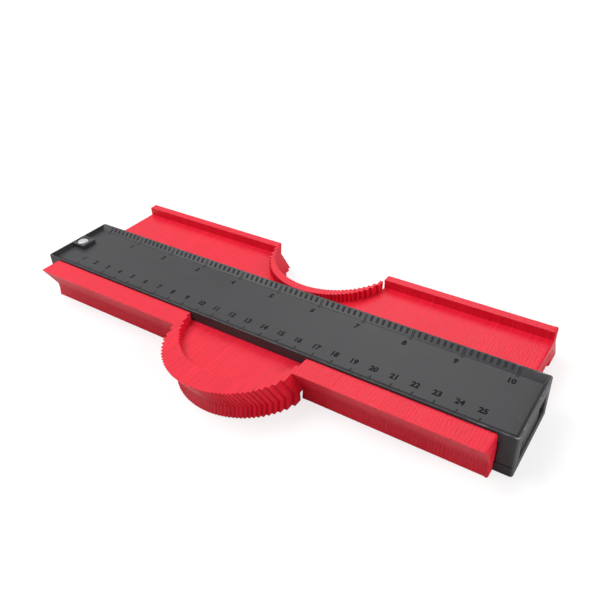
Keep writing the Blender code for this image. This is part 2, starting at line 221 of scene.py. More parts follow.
# %% Helpers for a finish and its noise
def new_finish(name, colour, roughness, metallic=0.0):
    material = bpy.data.materials.new(name)
    material.use_nodes = True
    nodes = material.node_tree.nodes
    shader = nodes["Principled BSDF"]
    shader.inputs["Base Color"].default_value = (*colour, 1.0)
    shader.inputs["Roughness"].default_value = roughness
    shader.inputs["Metallic"].default_value = metallic
    return material


def add_node(material, kind, **settings):
    node = material.node_tree.nodes.new(kind)
    for key, value in settings.items():
        if key in node.inputs:
            node.inputs[key].default_value = value
        else:
            setattr(node, key, value)
    return node


def join_nodes(material, start, end):
    material.node_tree.links.new(start, end)


def gauge_coordinates(material, scale):
    """Object coordinates, scaled so that one unit is 1 / scale metres along each axis."""
    place = add_node(material, "ShaderNodeTexCoord")
    mapping = add_node(material, "ShaderNodeMapping")
    mapping.inputs["Scale"].default_value = scale
    join_nodes(material, place.outputs["Object"], mapping.inputs["Vector"])
    return mapping.outputs["Vector"]


def noise(material, scale, detail=2.0, roughness=0.5):
    node = add_node(material, "ShaderNodeTexNoise", Scale=1.0, Detail=detail, Roughness=roughness)
    join_nodes(material, gauge_coordinates(material, scale), node.inputs["Vector"])
    return node.outputs["Fac"]


print("noise helpers ready")

# %% Helpers for colours and bumps
def ramp(material, source, low, high, dark, light):
    """Turns a value between low and high into a blend between two values or colours."""
    node = add_node(material, "ShaderNodeValToRGB")
    steps = node.color_ramp.elements
    steps[0].position, steps[1].position = low, high
    steps[0].color = (*dark, 1.0) if isinstance(dark, tuple) else (dark, dark, dark, 1.0)
    steps[1].color = (*light, 1.0) if isinstance(light, tuple) else (light, light, light, 1.0)
    join_nodes(material, source, node.inputs["Fac"])
    return node.outputs["Color"]


def blend(material, share, first, second, kind="MIX"):
    node = add_node(material, "ShaderNodeMix", data_type="RGBA", blend_type=kind)
    if isinstance(share, float):
        node.inputs[0].default_value = share
    else:
        join_nodes(material, share, node.inputs[0])
    for value, place in ((first, 6), (second, 7)):
        if isinstance(value, tuple):
            node.inputs[place].default_value = (*value, 1.0)
        else:
            join_nodes(material, value, node.inputs[place])
    return node.outputs[2]


def bump(material, height, distance, strength):
    node = add_node(material, "ShaderNodeBump", Strength=strength, Distance=distance)
    join_nodes(material, height, node.inputs["Height"])
    shader = material.node_tree.nodes["Principled BSDF"]
    join_nodes(material, node.outputs["Normal"], shader.inputs["Normal"])


print("colour helpers ready")

# %% Dark grey ABS of the covers
def make_grey_plastic():
    """Spark-eroded grain, cloudy flow marks, a little dust, a rim rubbed lighter, and painted light
    on the end wall.
    """
    material = new_finish("dark_grey_abs", (0.040, 0.040, 0.043), 0.45)
    shader = material.node_tree.nodes["Principled BSDF"]
    shader.inputs["Specular IOR Level"].default_value = 0.32
    clouds = noise(material, (40, 90, 90), detail=3.0)
    colour = ramp(material, clouds, 0.35, 0.65, (0.032, 0.032, 0.035), (0.041, 0.041, 0.044))
    specks = add_node(material, "ShaderNodeTexVoronoi", feature="F1", Scale=1.0)
    join_nodes(material, gauge_coordinates(material, (150, 150, 150)), specks.inputs["Vector"])
    dust = ramp(material, specks.outputs["Distance"], 0.035, 0.05, 1.0, 0.0)
    patchy = ramp(material, noise(material, (45, 45, 45)), 0.5, 0.62, 0.0, 1.0)
    dust = blend(material, 1.0, dust, patchy, "MULTIPLY")
    colour = blend(material, dust, colour, (0.16, 0.155, 0.15))
    place = add_node(material, "ShaderNodeTexCoord")
    split = add_node(material, "ShaderNodeSeparateXYZ")
    join_nodes(material, place.outputs["Object"], split.inputs["Vector"])
    height = add_node(material, "ShaderNodeMapRange")
    height.inputs["From Min"].default_value = (RIM_TOP - 0.35) * MM
    height.inputs["From Max"].default_value = RIM_TOP * MM
    join_nodes(material, split.outputs["Z"], height.inputs["Value"])
    scuffs = ramp(material, noise(material, (300, 500, 500), detail=4.0), 0.42, 0.72, 0.05, 0.9)
    rubbed = blend(material, 1.0, height.outputs["Result"], scuffs, "MULTIPLY")
    toward_end = add_node(material, "ShaderNodeMapRange")
    toward_end.inputs["From Min"].default_value = (HALF_LENGTH - 22) * MM
    toward_end.inputs["From Max"].default_value = (HALF_LENGTH - 0.5) * MM
    join_nodes(material, split.outputs["X"], toward_end.inputs["Value"])
    worn = blend(material, toward_end.outputs["Result"], (0.09, 0.09, 0.095), (0.34, 0.34, 0.35))
    colour = blend(material, rubbed, colour, worn)
    # Painted light: the end wall is painted lighter, as if lit by a lamp on the right.
    painted_end_light = add_node(material, "ShaderNodeMapRange")
    painted_end_light.inputs["From Min"].default_value = (HALF_LENGTH - 1.3) * MM
    painted_end_light.inputs["From Max"].default_value = (HALF_LENGTH - 0.3) * MM
    painted_end_light.inputs["To Max"].default_value = 0.6
    join_nodes(material, split.outputs["X"], painted_end_light.inputs["Value"])
    colour = blend(material, painted_end_light.outputs["Result"], colour, (0.11, 0.11, 0.112))
    join_nodes(material, colour, shader.inputs["Base Color"])
    grain = noise(material, (6000, 6000, 6000), detail=2.0)
    join_nodes(material, ramp(material, clouds, 0.3, 0.7, 0.40, 0.50), shader.inputs["Roughness"])
    bump(material, grain, 0.00002, 0.5)
    return material


grey_plastic = make_grey_plastic()
mark_paint = new_finish("mark_paint", (0.006, 0.006, 0.007), 0.6)
# The slot floors of the scale marks are dull and a little darker: dirt and painted shade in the
# slots.
tick_dirt_and_shade = new_finish("tick_dirt_and_shade", (0.036, 0.037, 0.040), 0.9)
panel_mark_dirt_and_shade = new_finish("panel_mark_dirt_and_shade", (0.028, 0.028, 0.030), 0.8)
for paint in (mark_paint, tick_dirt_and_shade, panel_mark_dirt_and_shade):
    paint.node_tree.nodes["Principled BSDF"].inputs["Specular IOR Level"].default_value = 0.1
print("covers:", grey_plastic.name, mark_paint.name, tick_dirt_and_shade.name, panel_mark_dirt_and_shade.name)

# %% Red ABS of the leaves
def make_red_plastic():
    """Leaves differ a little in tone, and carry fine draw marks along their length."""
    material = new_finish("red_abs", (0.80, 0.010, 0.022), 0.38)
    shader = material.node_tree.nodes["Principled BSDF"]
    shader.inputs["Specular IOR Level"].default_value = 0.31
    tone = noise(material, (900, 6, 6), detail=1.0)
    clouds = noise(material, (60, 40, 60), detail=2.0)
    mixed = blend(material, 0.35, tone, clouds)
    colour = ramp(material, mixed, 0.28, 0.72, (0.64, 0.006, 0.024), (0.80, 0.013, 0.040))
    join_nodes(material, colour, shader.inputs["Base Color"])
    join_nodes(material, ramp(material, tone, 0.3, 0.7, 0.38, 0.50), shader.inputs["Roughness"])
    streaks = noise(material, (2500, 25, 2500), detail=2.0)
    bump(material, streaks, 0.00002, 0.6)
    return material


red_plastic = make_red_plastic()
print("leaves:", red_plastic.name)

# %% [markdown]
# ## Top cover
# The top cover is a ruler: a rounded bar with a sunk panel and sloping bands that carry the scales.
# It could be drawn as a profile and filled, but the corners would then need patching. Starting
# from a box is closer to how the mould is cut: round the four corners, step in for the rim, sink
# the panel, and let it narrow so that the bands slope.

# %% Top cover: the sunk panel
GROOVE_SIDE = 0.14
GROOVE_FLOOR = 0.12
GROOVE_DEPTH = 0.18
RIM_INNER_EDGE = 0.14
RIM_OUTER_EDGE = 0.35
SEAM_EDGE = 0.15


def make_top_blank():
    """A rounded bar with a sunk panel, sloping bands round it, and a fine groove at their foot."""
    low = (-HALF_LENGTH, -HALF_WIDTH, SEAM + GAP)
    high = (HALF_LENGTH, HALF_WIDTH, RIM_TOP)
    cover = start_box("top_cover_dressed", low, high, grey_plastic)
    open_piece(cover)
    pick(cover, "EDGE", upright_edge)
    bpy.ops.mesh.bevel(offset=CORNER * MM, segments=8)
    pick(cover, "FACE", lambda face: face.normal.z > 0.9)
    bpy.ops.mesh.inset(thickness=RIM * MM)
    bpy.ops.mesh.extrude_region_move(TRANSFORM_OT_translate={"value": (0, 0, -RECESS * MM)})
    across = (HALF_WIDTH - RIM - LONG_BAND) / (HALF_WIDTH - RIM)
    bands = END_BAND + ZERO_END_BAND
    along = 1 - bands / 2 / (HALF_LENGTH - RIM)
    still = (ZERO_END_BAND - END_BAND) / bands * (HALF_LENGTH - RIM)
    bpy.ops.transform.resize(value=(along, across, 1),
                             center_override=(still * MM, 0, PANEL_TOP * MM))
    bpy.ops.mesh.inset(thickness=GROOVE_SIDE * MM, depth=-GROOVE_DEPTH * MM)
    bpy.ops.mesh.inset(thickness=GROOVE_FLOOR * MM)
    bpy.ops.mesh.inset(thickness=GROOVE_SIDE * MM, depth=GROOVE_DEPTH * MM)
    close_piece()
    return cover


def between_rim_and(side_test):
    """A test for edges with the flat rim on one side."""
    def test(edge):
        tilts = [face.normal.z for face in edge.link_faces]
        at_top = abs(middle(edge).z - RIM_TOP) < 0.01
        return at_top and len(tilts) == 2 and any(side_test(tilt) for tilt in tilts)
    return test


def round_rim(cover):
    open_piece(cover)
    inner = pick(cover, "EDGE", between_rim_and(lambda tilt: 0.2 < tilt < 0.95))
    bpy.ops.mesh.bevel(offset=RIM_INNER_EDGE * MM, segments=2)
    outer = pick(cover, "EDGE", between_rim_and(lambda tilt: abs(tilt) < 0.1))
    bpy.ops.mesh.bevel(offset=RIM_OUTER_EDGE * MM, segments=3)
    pick(cover, "EDGE", lambda edge: abs(middle(edge).z - SEAM - GAP) < 0.01)
    bpy.ops.mesh.bevel(offset=SEAM_EDGE * MM, segments=1)
    close_piece()
    print("rim edges rounded:", inner, "inner,", outer, "outer")


top_cover = make_top_blank()
round_rim(top_cover)
print("top cover blank:", triangles(top_cover), "triangles")

# %% [markdown]
# ## Boss and clamp seat
# At the zero end a small boss rises from the panel to just under the rim and holds the head of the
# clamp bolt. It is a separate block on the mould, so it is made as one and united with the cover.

# %% Top cover: boss, tunnel, window and holes
BOLT_RADIUS = (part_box("clamp_bolt")[1].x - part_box("clamp_bolt")[0].x) / 2 / MM
BOLT_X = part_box("clamp_bolt")[0].x / MM + BOLT_RADIUS
BOLT_RING = 0.45
BOLT_HEAD_DEPTH = 1.8
BOLT_HOLE = 1.8
BOSS_LENGTH = 9.3
BOSS_WIDTH = 9.4
BOSS_CORNER = 0.6
BOSS_EDGE = 0.2
BOSS_TOP = RIM_TOP - 0.1
BOLT_SEAT = BOSS_TOP - BOLT_HEAD_DEPTH - GAP
SCREW_X = (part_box("cover_screw_1")[0].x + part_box("cover_screw_1")[1].x) / 2 / MM
SCREW_Y = (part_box("cover_screw_2")[0].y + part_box("cover_screw_2")[1].y) / 2 / MM
SCREW_HOLE = 1.4
SCREW_HOLE_TOP = 12.2
TAB_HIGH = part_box("bottom_cover")[1].z / MM
WINDOW_HALF = 16.0
WINDOW_DEPTH = 4.9
WINDOW_EDGE = 0.4


def make_boss():
    left = RIM - HALF_LENGTH
    boss = start_box("boss", (left, -BOSS_WIDTH / 2, PANEL_TOP - GAP),
                     (left + BOSS_LENGTH, BOSS_WIDTH / 2, BOSS_TOP))
    open_piece(boss)
    pick(boss, "EDGE", lambda edge: upright_edge(edge) and middle(edge).x > left + 1)
    bpy.ops.mesh.bevel(offset=BOSS_CORNER * MM, segments=4)
    pick(boss, "EDGE", lambda edge: middle(edge).z > BOSS_TOP - 0.01
         and middle(edge).x > left + 0.1)
    bpy.ops.mesh.bevel(offset=BOSS_EDGE * MM, segments=3)
    close_piece()
    return boss


def open_top_cover(cover):
    combine(cover, make_boss(), "UNION")
    wide = HALF_WIDTH + 1
    cut_box(cover, (-TUNNEL_HALF, -wide, 0), (TUNNEL_HALF, wide, ROOF))
    strip_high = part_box("upper_strip")[1]
    reach, half = strip_high.x / MM + GAP, strip_high.y / MM + GAP
    cut_box(cover, (-reach, -half, ROOF - 1), (reach, half, strip_high.z / MM + GAP))
    cut_round(cover, (BOLT_X, 0), BOLT_RADIUS + BOLT_RING, BOLT_SEAT, RIM_TOP + 1)
    cut_round(cover, (BOLT_X, 0), BOLT_HOLE, 0, BOLT_SEAT + 1, 24)
    for side in (-1, 1):
        cut_round(cover, (SCREW_X, side * SCREW_Y), SCREW_HOLE, 0, SCREW_HOLE_TOP, 24)
    cut_box(cover, (HALF_LENGTH - WINDOW_DEPTH, -WINDOW_HALF, 0),
            (HALF_LENGTH + 1, WINDOW_HALF, TAB_HIGH + GAP))
    open_piece(cover)
    picked = pick(cover, "EDGE", lambda edge: abs(middle(edge).x - HALF_LENGTH) < 0.01
                  and abs(middle(edge).y) < WINDOW_HALF + 0.1 and middle(edge).z < TAB_HIGH + 0.4)
    bpy.ops.mesh.bevel(offset=WINDOW_EDGE * MM, segments=3)
    close_piece()
    print("window edges rounded:", picked)


open_top_cover(top_cover)
print("top cover opened:", triangles(top_cover), "triangles")

# %% [markdown]
# ## Scales
# Inches are marked in eighths on the far band, centimetres and millimetres on the near one, and
# every whole inch and centimetre runs on into the panel towards its numeral. The marks are moulded
# in, so each is cut as a shallow slot, and its floor is darkened as dirt and shadow darken the
# real ones. A real mould needs a cutter for each, and so does this: all cutters are laid out
# first, joined, and cut in one go. The numerals are laid on as a thin print instead: the outline
# of a digit with a bolder stroke can cross itself, and a cut along such an outline isn't reliable.

# %% Scale marks
ZERO_X = -129.59
INCH = 25.4
BAND_TILT = math.atan2(RECESS, LONG_BAND)
BAND_LENGTH = math.hypot(RECESS, LONG_BAND)
TICK_DEPTH = 0.12
TICK_START = 0.35
TICK_END = BAND_LENGTH - 0.15
PANEL_GAP = 0.45
CELL_WIDTH = 1.3
CELL_END = BAND_LENGTH - 0.95
INCH_LINE = 0.44
INCH_LINE_SIDE = 0.43
INCH_LINE_REACH = 1.75
MILLIMETRE_LINE = 0.32
MILLIMETRE_END = 2.0
HALF_CENTIMETRE_END = 2.8
CENTIMETRE_LINE = 0.7
CENTIMETRE_LINE_REACH = 2.1


def slot_on_band(x, side, width, start, end):
    """A slot cutter on a sloping band. Start and end are measured down from the rim's edge."""
    length = end - start
    bpy.ops.object.select_all(action="DESELECT")
    bpy.ops.mesh.primitive_cube_add(size=1)
    cutter = bpy.context.object
    cutter.scale = (width * MM, length * MM, 2 * TICK_DEPTH * MM)
    down = (start + end) / 2
    y = side * (HALF_WIDTH - RIM - down * math.cos(BAND_TILT))
    z = RIM_TOP - down * math.sin(BAND_TILT)
    cutter.location = (x * MM, y * MM, z * MM)
    cutter.rotation_euler.x = side * BAND_TILT
    cutter.data.materials.append(tick_dirt_and_shade)
    return cutter


def slot_on_panel(x, y_low, y_high, width):
    return start_box("mark", (x - width / 2, y_low, PANEL_TOP - TICK_DEPTH),
                     (x + width / 2, y_high, PANEL_TOP + TICK_DEPTH), panel_mark_dirt_and_shade)


def inch_marks():
    """A broad cell for each eighth, and a pair of lines for each whole inch."""
    foot = HALF_WIDTH - RIM - LONG_BAND
    for eighth in range(81):
        x = ZERO_X + eighth * INCH / 8
        if eighth % 8:
            yield slot_on_band(x, 1, CELL_WIDTH, TICK_START, CELL_END)
            continue
        for side in (-INCH_LINE_SIDE, INCH_LINE_SIDE):
            yield slot_on_band(x + side, 1, INCH_LINE, TICK_START, TICK_END)
            yield slot_on_panel(x + side, foot - INCH_LINE_REACH, foot - PANEL_GAP, INCH_LINE)


def centimetre_marks():
    """A line for each millimetre, longer at each half and broader at each whole centimetre."""
    foot = HALF_WIDTH - RIM - LONG_BAND
    for millimetre in range(251):
        x = ZERO_X + millimetre
        width, end = MILLIMETRE_LINE, MILLIMETRE_END
        if millimetre % 5 == 0:
            end = HALF_CENTIMETRE_END
        if millimetre % 10 == 0:
            width, end = CENTIMETRE_LINE, TICK_END
        yield slot_on_band(x, -1, width, TICK_START, end)
        if millimetre % 10 == 0 and millimetre:
            yield slot_on_panel(x, PANEL_GAP - foot, CENTIMETRE_LINE_REACH - foot, width)


def join_pieces(pieces, name):
    bpy.ops.object.select_all(action="DESELECT")
    for piece in pieces:
        piece.select_set(True)
    bpy.context.view_layer.objects.active = pieces[0]
    bpy.ops.object.join()
    pieces[0].name = name
    return settle(pieces[0])


print("band slope", round(math.degrees(BAND_TILT), 1), "degrees")

# %% Numerals
DIGIT_SIZE = 4.5
STROKE_GROWTH = 0.2
PRINT_HEIGHT = 0.04
INCH_NUMERAL_Y = 12.2
CENTIMETRE_NUMERAL_Y = -11.2
INCH_NUMERAL_SHIFT = -1.15
CENTIMETRE_NUMERAL_SHIFT = -1.7
FIRST_SLIPS = {1: 1.2, 2: 0.7, 3: 0.4}
LAST_EVEN_NUMERAL = 16
SLIP_PER_NUMERAL = 0.12
DIGIT_WIDTH = 0.9


def numeral(value, x, y):
    """A printed numeral, upright for a reader on the near side, with its stroke made bolder."""
    bpy.ops.object.select_all(action="DESELECT")
    bpy.ops.object.text_add(location=(x * MM, y * MM, PANEL_TOP * MM))
    text = bpy.context.object
    text.data.body = str(value)
    text.data.size = DIGIT_SIZE * MM
    text.data.align_x = "CENTER"
    text.data.align_y = "CENTER"
    text.data.bevel_depth = STROKE_GROWTH * MM
    text.data.bevel_resolution = 0
    text.data.resolution_u = 3
    text.scale = (DIGIT_WIDTH, 1, PRINT_HEIGHT / STROKE_GROWTH)
    only(text)
    bpy.ops.object.convert(target="MESH")
    digits = bpy.context.object
    digits.data.materials.clear()
    digits.data.materials.append(mark_paint)
    return digits


def numerals():
    """Digits for both scales. The centimetre ones stray from even steps near the ends."""
    for inches in range(1, 11):
        yield numeral(inches, ZERO_X + inches * INCH + INCH_NUMERAL_SHIFT, INCH_NUMERAL_Y)
    for centimetres in range(1, 26):
        late = max(0, centimetres - LAST_EVEN_NUMERAL) * SLIP_PER_NUMERAL
        slip = FIRST_SLIPS.get(centimetres, late)
        x = ZERO_X + centimetres * 10 + CENTIMETRE_NUMERAL_SHIFT + slip
        yield numeral(centimetres, x, CENTIMETRE_NUMERAL_Y)


cut(top_cover, join_pieces(list(inch_marks()) + list(centimetre_marks()), "marks"))
shade(top_cover)
top_cover = join_pieces([top_cover, *numerals()], "top_cover_dressed")
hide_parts("top_cover")
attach(top_cover, "frame")
print("top cover with scales:", triangles(top_cover), "triangles")

# %% [markdown]
# ## Bottom cover
# The bottom cover is a plain plate that closes the tunnel from below. What makes it more than a
# plate is what it holds: the groove of the friction strip, the pocket for the folded lock lever,
# a scoop for a finger, two sunk screw holes, and the tab that stands in the end window.

# %% Bottom cover
LEVER_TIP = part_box("lock_lever")[1].x / MM
POCKET_HALF = 4.6
POCKET_ROOF = 2.7
CAM_ROOF = 3.9
CAM_REACH = 4.2
SCOOP_RADIUS = 6.5
SCOOP_ROOF = 2.4
SCREW_HEAD_HOLE = 2.5
SCREW_HEAD_ROOF = 2.2
FOOT_EDGE = 0.6
LIP_EDGE = 0.15
TAB_HALF = 10.5
TAB_RECESS = 0.8
TAB_THICKNESS = 3.7
TAB_EDGE = 0.3


def make_bottom_blank():
    cover = start_box("bottom_cover_dressed", (-HALF_LENGTH, -HALF_WIDTH, 0),
                      (HALF_LENGTH, HALF_WIDTH, SEAM), grey_plastic)
    open_piece(cover)
    pick(cover, "EDGE", upright_edge)
    bpy.ops.mesh.bevel(offset=CORNER * MM, segments=8)
    pick(cover, "EDGE", lambda edge: middle(edge).z < 0.01)
    bpy.ops.mesh.bevel(offset=FOOT_EDGE * MM, segments=3)
    pick(cover, "EDGE", lambda edge: middle(edge).z > SEAM - 0.01)
    bpy.ops.mesh.bevel(offset=SEAM_EDGE * MM, segments=1)
    close_piece()
    return cover


def make_tab():
    face = HALF_LENGTH - TAB_RECESS
    tab = start_box("tab", (face - TAB_THICKNESS, -TAB_HALF, SEAM - 1), (face, TAB_HALF, TAB_HIGH))
    open_piece(tab)
    pick(tab, "EDGE", lambda edge: middle(edge).z > SEAM)
    bpy.ops.mesh.bevel(offset=TAB_EDGE * MM, segments=3)
    close_piece()
    return tab


def open_bottom_cover(cover):
    wide = HALF_WIDTH + 1
    cut_box(cover, (-TUNNEL_HALF, -wide, FLOOR), (TUNNEL_HALF, wide, RIM_TOP))
    strip_low, strip_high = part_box("lower_strip")
    reach, half = strip_high.x / MM + GAP, strip_high.y / MM + GAP
    cut_box(cover, (-reach, -half, strip_low.z / MM - GAP), (reach, half, SEAM + 1))
    combine(cover, make_tab(), "UNION")
    outside = -HALF_LENGTH - 1
    cut_box(cover, (outside, -POCKET_HALF, -1), (BOLT_X + CAM_REACH, POCKET_HALF, CAM_ROOF))
    cut_box(cover, (outside, -POCKET_HALF, -1), (LEVER_TIP + 2 * GAP, POCKET_HALF, POCKET_ROOF))
    cut_round(cover, (LEVER_TIP, 0), SCOOP_RADIUS, -1, SCOOP_ROOF, 64)
    cut_round(cover, (BOLT_X, 0), BOLT_HOLE, 0, RIM_TOP, 24)
    for side in (-1, 1):
        cut_round(cover, (SCREW_X, side * SCREW_Y), SCREW_HOLE, -1, RIM_TOP, 24)
        cut_round(cover, (SCREW_X, side * SCREW_Y), SCREW_HEAD_HOLE, -1, SCREW_HEAD_ROOF)
    open_piece(cover)
    lips = pick(cover, "EDGE", lambda edge: abs(middle(edge).z) < 0.01
                and any(abs(face.normal.z) < 0.5 for face in edge.link_faces)
                and abs(middle(edge).y) < HALF_WIDTH - 1.5)
    bpy.ops.mesh.bevel(offset=LIP_EDGE * MM, segments=1)
    close_piece()
    print("lips rounded:", lips)


bottom_cover = make_bottom_blank()
open_bottom_cover(bottom_cover)
shade(bottom_cover)
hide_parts("bottom_cover")
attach(bottom_cover, "frame")
print("bottom cover:", triangles(bottom_cover), "triangles")

# %% [markdown]
# ## Leaves
# Every leaf is the same moulding: a blade, a head with a sharp beak on top at the near end, and
# the same head upside down at the far end. The heads lock behind the ruler, so a leaf can't fall
# out. One leaf is modelled with care and copied 160 times, so its faces are kept few.
# The blade is the box to start from. Each end is extruded into the head's root, the root grows up
# and down, one line is added where the beak begins, and the top edge is drawn out to a point.

# %% One leaf
BLADE_LOW = 5.1
BLADE_HIGH = 16.1
LEAF_LOW = 0.3
LEAF_TOP = 20.9
HEAD_INSIDE = 74.7
NARROW_HEAD = 4.9
WAIST = 0.9
WIDE_HEAD = 11.8
BEAK_SLOPE = 13.8
HEAD_CHAMFER = 0.3
LEAF_COUNT = 160
LEAF_PITCH = 6.5 / 4
LEAF_THICKNESS = LEAF_PITCH - 0.02
LEAF_EDGE = 0.035
END_LEAF_EDGE = 0.9
GUIDE_GROOVE_DEPTH = 0.3
GUIDE_GROOVE_HALF = 0.4
REST_NEAR = -HALF_WIDTH - GAP
MIDDLE_Z = (BLADE_LOW + BLADE_HIGH) / 2


def grow_head(leaf, inner_y, side):
    """Grows a head at one end: side is -1 for the near end and 1 for the far end."""
    open_piece(leaf)
    pick(leaf, "FACE", lambda face: face.normal.y * side > 0.9
         and abs(middle(face).y - inner_y) < 0.01)
    step = {"value": (0, side * NARROW_HEAD * MM, 0)}
    bpy.ops.mesh.extrude_region_move(TRANSFORM_OT_translate=step)
    root_y = inner_y + side * NARROW_HEAD / 2
    for up, grow in ((1, LEAF_TOP - BLADE_HIGH), (-1, BLADE_LOW - LEAF_LOW)):
        pick(leaf, "FACE", lambda face: face.normal.z * up > 0.9
             and abs(middle(face).y - root_y) < 0.1)
        step = {"value": (0, 0, up * grow * MM)}
        bpy.ops.mesh.extrude_region_move(TRANSFORM_OT_translate=step)
    close_piece()


def draw_beak(leaf, inner_y, side, chamfer):
    """Draws the head's edge out to a beak: on top at the near end, below at the far end."""
    up = -side
    face_y = inner_y + side * NARROW_HEAD
    beak_z = LEAF_TOP if up > 0 else LEAF_LOW
    root_z = beak_z - up * BEAK_SLOPE
    open_piece(leaf)
    pick(leaf, "FACE", lambda face: abs(middle(face).y - face_y) < 0.01)
    bpy.ops.mesh.bisect(plane_co=(0, 0, root_z * MM), plane_no=(0, 0, 1))
    pick(leaf, "EDGE", lambda edge: abs(middle(edge).y - face_y) < 0.01
         and abs(middle(edge).z - beak_z) < 0.01)
    bpy.ops.transform.translate(value=(0, side * (WIDE_HEAD - NARROW_HEAD) * MM, 0))
    pick(leaf, "EDGE", lambda edge: abs(middle(edge).y - face_y) < 0.01
         and abs(middle(edge).z - root_z) < 0.01 and abs(middle(edge).x) < 0.01)
    bpy.ops.transform.translate(value=(0, -side * WAIST * MM, 0))
    pick(leaf, "EDGE", lambda edge: abs(middle(edge).y - face_y) < 0.01
         and abs(middle(edge).z - (LEAF_TOP + LEAF_LOW - beak_z)) < 0.01)
    if chamfer:
        bpy.ops.mesh.bevel(offset=chamfer * MM, segments=1)
    close_piece()


def make_leaf(name, outer_side=0):
    """An end leaf has a rounder edge on its outer side, where a hand slides along it."""
    half = LEAF_THICKNESS / 2
    near, far = REST_NEAR, REST_NEAR + HEAD_INSIDE
    leaf = start_box(name, (-half, near, BLADE_LOW), (half, far, BLADE_HIGH), red_plastic)
    for inner_y, side in ((near, -1), (far, 1)):
        grow_head(leaf, inner_y, side)
    open_piece(leaf)
    bpy.ops.mesh.select_all(action="SELECT")
    bpy.ops.mesh.dissolve_limited(angle_limit=math.radians(1))
    close_piece()
    for inner_y, side in ((near, -1), (far, 1)):
        draw_beak(leaf, inner_y, side, 0 if outer_side else HEAD_CHAMFER)
    open_piece(leaf)
    for side in (-1, 1):
        width, steps = (END_LEAF_EDGE, 4) if side == outer_side else (LEAF_EDGE, 1)
        pick(leaf, "EDGE", lambda edge: abs(middle(edge).x - side * half) < 0.001)
        bpy.ops.mesh.bevel(offset=width * MM, segments=steps)
    close_piece()
    cut_box(leaf, (half - GUIDE_GROOVE_DEPTH, near, MIDDLE_Z - GUIDE_GROOVE_HALF),
            (half + 1, far, MIDDLE_Z + GUIDE_GROOVE_HALF))
    shade(leaf, 40)
    print(name, "faces:", len(leaf.data.polygons), "triangles:", triangles(leaf))
    return leaf


leaf = make_leaf("leaf")
first_leaf = make_leaf("first_leaf", -1)
last_leaf = make_leaf("last_leaf", 1)

# %% [markdown]
# ## The stack
# Where each leaf stands is read from the frame: the lowest y of the solid in that leaf's slice is
# the tip of its beak. Real leaves never line up perfectly, so each gets a small slip of its own,
# inwards, from a seeded generator, so that every run gives the same stack.

# %% Dress the bundles
LEAVES_PER_BUNDLE = 4
TIP_AT_REST = REST_NEAR - WIDE_HEAD
SOLID_PITCH = 1.58
SOLID_HALF = 0.73
SLIP_ALONG = 0.03
SLIP_UP = 0.02


def push_of(node, place):
    """How far one of the frame's solid leaves has been pushed towards the reader."""
    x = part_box(node)[0].x / MM + place * SOLID_PITCH + SOLID_HALF
    points = [vertex.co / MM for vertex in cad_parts[node].data.vertices]
    tip = min(point.y for point in points if abs(point.x - x) < SOLID_HALF + 0.01)
    return TIP_AT_REST - tip


def dress_bundle(bundle, generator):
    node = f"leaves_{bundle + 1:02d}"
    copies = []
    for place in range(LEAVES_PER_BUNDLE):
        number = bundle * LEAVES_PER_BUNDLE + place
        master = {0: first_leaf, LEAF_COUNT - 1: last_leaf}.get(number, leaf)
        copy = bpy.data.objects.new(f"leaf_{number + 1}", master.data.copy())
        bpy.context.scene.collection.objects.link(copy)
        x = (number - (LEAF_COUNT - 1) / 2) * LEAF_PITCH
        push = push_of(node, place)
        slip = generator.uniform(0.0, SLIP_ALONG)
        y = (slip if push > 1 else -slip) - push
        z = generator.uniform(-SLIP_UP, SLIP_UP)
        copy.location = (x * MM, y * MM, z * MM)
        copies.append(copy)
    dressed = join_pieces(copies, f"dressed_{node}")
    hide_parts(node)
    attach(dressed, node)
    return triangles(dressed)


slips = random.Random(8)
bundles = range(LEAF_COUNT // LEAVES_PER_BUNDLE)
bundle_triangles = [dress_bundle(bundle, slips) for bundle in bundles]
for master in (leaf, first_leaf, last_leaf):
    bpy.data.objects.remove(master, do_unlink=True)
print("bundles:", len(bundle_triangles), "triangles:", sum(bundle_triangles))

# %% [markdown]
# ## Clamp bolt, lever and screws
# Bright zinc shows its shape only through what it reflects, so the head gets a low dome and a
# broken edge. The bolt starts as a cylinder as wide as its head, and the shank is drawn down from
# its underside. The lever is black coated, so a rounded edge is enough: a copy of the frame's own
# solid is cleaned and softened.

# %% Metal finishes
def make_bright_zinc():
    material = new_finish("bright_zinc", (0.50, 0.50, 0.51), 0.6, 1.0)
    shader = material.node_tree.nodes["Principled BSDF"]
    wear = noise(material, (1800, 1800, 1800), detail=4.0, roughness=0.6)
    join_nodes(material, ramp(material, wear, 0.35, 0.7, 0.56, 0.70), shader.inputs["Roughness"])
    colour = ramp(material, wear, 0.35, 0.75, (0.58, 0.58, 0.59), (0.40, 0.40, 0.41))
    join_nodes(material, colour, shader.inputs["Base Color"])
    bump(material, noise(material, (3000, 900, 3000), detail=3.0), 0.00002, 0.5)
    return material


def make_black_coat():
    material = new_finish("black_coat", (0.020, 0.020, 0.021), 0.38)
    bump(material, noise(material, (2500, 2500, 2500), detail=2.0), 0.00004, 0.5)
    return material


def make_foam_rubber():
    material = new_finish("foam_rubber", (0.018, 0.018, 0.018), 0.9)
    bump(material, noise(material, (3500, 3500, 3500), detail=1.0), 0.0001, 0.7)
    return material


bright_zinc = make_bright_zinc()
black_coat = make_black_coat()
foam_rubber = make_foam_rubber()
print("finishes:", bright_zinc.name, black_coat.name, foam_rubber.name)

